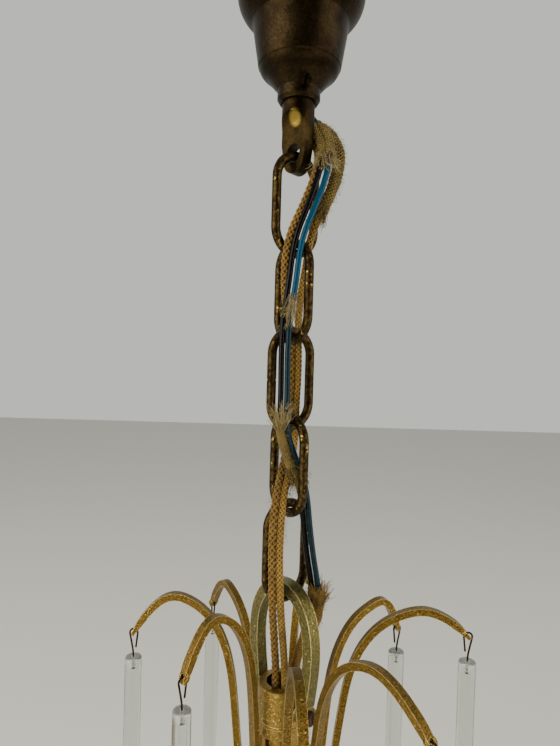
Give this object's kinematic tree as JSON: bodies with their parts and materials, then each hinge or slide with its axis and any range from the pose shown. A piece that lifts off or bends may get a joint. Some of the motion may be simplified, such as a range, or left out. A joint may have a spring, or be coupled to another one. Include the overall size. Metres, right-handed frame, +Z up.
{
  "type": "chandelier",
  "caption": "Small hanging lamp: bell canopy, short oval-link chain carrying the wires, horseshoe bail and tube stem with bent arms that each hang a clear glass rod.",
  "frame": {"origin": "the ceiling plane on the axis of the fixing bar's bore", "axes": "+Z up along the hanging axis, +Y away from the room's middle, +X to the right seen from the front"},
  "size_m": [0.1405, 0.1369, 0.4403],
  "materials": {
    "patinated_brass": "dark brown patina, half gloss",
    "tarnished_brass": "brown-gold tarnish with worn bright spots",
    "polished_brass": "polished",
    "cast_brass": "cast grain, edges worn bright",
    "dark_steel": "oxidised dark wire",
    "screw_steel": "rusty screw",
    "zinc_steel": "plain",
    "glass": "fire polished",
    "phenolic": "moulded",
    "porcelain": "glazed",
    "braid": "woven cotton",
    "black_sleeve": "matt",
    "teal_sleeve": "matt"
  },
  "bodies": {
    "ceiling": {"ceiling_bar": "zinc_steel", "loop_nipple": "patinated_brass", "terminal_block": "porcelain", "terminal_screws": "polished_brass"},
    "canopy": {"canopy": "patinated_brass", "canopy_grub_screw": "screw_steel"},
    "link_1": {"chain_link_1": "tarnished_brass"},
    "link_2": {"chain_link_2": "tarnished_brass"},
    "link_3": {"chain_link_3": "tarnished_brass", "braided_wire_left": "braid", "braided_wire_right": "braid", "black_wire": "black_sleeve", "teal_wire": "teal_sleeve"},
    "link_4": {"chain_link_4": "tarnished_brass"},
    "link_5": {"chain_link_5": "tarnished_brass"},
    "bail": {"bail_ring": "cast_brass"},
    "stem": {"stem_collar": "cast_brass", "bail_pivot_screws": "screw_steel", "stem_tube": "polished_brass", "arm_hub": "cast_brass", "arm_1": "cast_brass", "arm_2": "cast_brass", "arm_3": "cast_brass", "arm_4": "cast_brass", "arm_5": "cast_brass", "arm_6": "cast_brass", "arm_7": "cast_brass", "arm_8": "cast_brass", "holder_nipple": "polished_brass", "holder_cap": "patinated_brass", "contact_block": "porcelain", "holder_body": "phenolic", "socket_shell": "polished_brass", "middle_contact": "polished_brass"},
    "rod_1": {"hook_1": "dark_steel", "glass_rod_1": "glass"},
    "rod_2": {"hook_2": "dark_steel", "glass_rod_2": "glass"},
    "rod_3": {"hook_3": "dark_steel", "glass_rod_3": "glass"},
    "rod_4": {"hook_4": "dark_steel", "glass_rod_4": "glass"},
    "rod_5": {"hook_5": "dark_steel", "glass_rod_5": "glass"},
    "rod_6": {"hook_6": "dark_steel", "glass_rod_6": "glass"},
    "rod_7": {"hook_7": "dark_steel", "glass_rod_7": "glass"},
    "rod_8": {"hook_8": "dark_steel", "glass_rod_8": "glass"}
  },
  "joints": [
    {"name": "canopy_slide", "type": "slide", "parent": "ceiling", "child": "canopy", "axis": [0, 0, 1], "range_m": [-0.004, 0]},
    {"name": "link_1_swing", "type": "hinge", "parent": "ceiling", "child": "link_1", "pos_m": [0, 0, -0.0843], "axis": [0.7986, 0.6018, 0], "range_deg": [-20, 20], "deforming": ["braided_wire_left", "braided_wire_right", "black_wire", "teal_wire"]},
    {"name": "link_2_swing", "type": "hinge", "parent": "link_1", "child": "link_2", "pos_m": [0, 0, -0.1226], "axis": [0.7986, 0.6018, 0], "range_deg": [-20, 20]},
    {"name": "link_3_swing", "type": "hinge", "parent": "link_2", "child": "link_3", "pos_m": [0, 0, -0.15708], "axis": [0.6018, -0.7986, 0], "range_deg": [-20, 20]},
    {"name": "link_4_swing", "type": "hinge", "parent": "link_3", "child": "link_4", "pos_m": [0, 0, -0.19156], "axis": [0.7986, 0.6018, 0], "range_deg": [-20, 20]},
    {"name": "link_5_swing", "type": "hinge", "parent": "link_4", "child": "link_5", "pos_m": [0, 0, -0.22604], "axis": [0.6018, -0.7986, 0], "range_deg": [-20, 20]},
    {"name": "bail_swing", "type": "hinge", "parent": "link_5", "child": "bail", "pos_m": [0, 0, -0.26052], "axis": [0.7986, 0.6018, 0], "range_deg": [-15, 15]},
    {"name": "stem_swing", "type": "hinge", "parent": "bail", "child": "stem", "pos_m": [0, 0, -0.3027], "axis": [0.6947, -0.7193, 0], "range_deg": [-15, 15]},
    {"name": "rod_1_swing", "type": "hinge", "parent": "stem", "child": "rod_1", "pos_m": [0.00507, -0.07245, -0.274], "axis": [0.9976, 0.0698, 0], "range_deg": [-12, 12]},
    {"name": "rod_2_swing", "type": "hinge", "parent": "stem", "child": "rod_2", "pos_m": [0.04411, -0.06071, -0.27868], "axis": [0.809, 0.5878, 0], "range_deg": [-12, 12]},
    {"name": "rod_3_swing", "type": "hinge", "parent": "stem", "child": "rod_3", "pos_m": [0.0728, -0.00509, -0.27214], "axis": [0.0698, 0.9976, 0], "range_deg": [-12, 12]},
    {"name": "rod_4_swing", "type": "hinge", "parent": "stem", "child": "rod_4", "pos_m": [0.04983, 0.01814, -0.2808], "axis": [-0.342, 0.9397, 0], "range_deg": [-12, 12]},
    {"name": "rod_5_swing", "type": "hinge", "parent": "stem", "child": "rod_5", "pos_m": [0.01333, 0.05772, -0.27743], "axis": [-0.9744, 0.225, 0], "range_deg": [-12, 12]},
    {"name": "rod_6_swing", "type": "hinge", "parent": "stem", "child": "rod_6", "pos_m": [-0.03412, 0.04873, -0.28591], "axis": [-0.8192, -0.5736, 0], "range_deg": [-12, 12]},
    {"name": "rod_7_swing", "type": "hinge", "parent": "stem", "child": "rod_7", "pos_m": [-0.06107, 0.00213, -0.27785], "axis": [-0.0349, -0.9994, 0], "range_deg": [-12, 12]},
    {"name": "rod_8_swing", "type": "hinge", "parent": "stem", "child": "rod_8", "pos_m": [-0.03511, -0.03274, -0.27725], "axis": [0.682, -0.7314, 0], "range_deg": [-12, 12]}
  ]
}
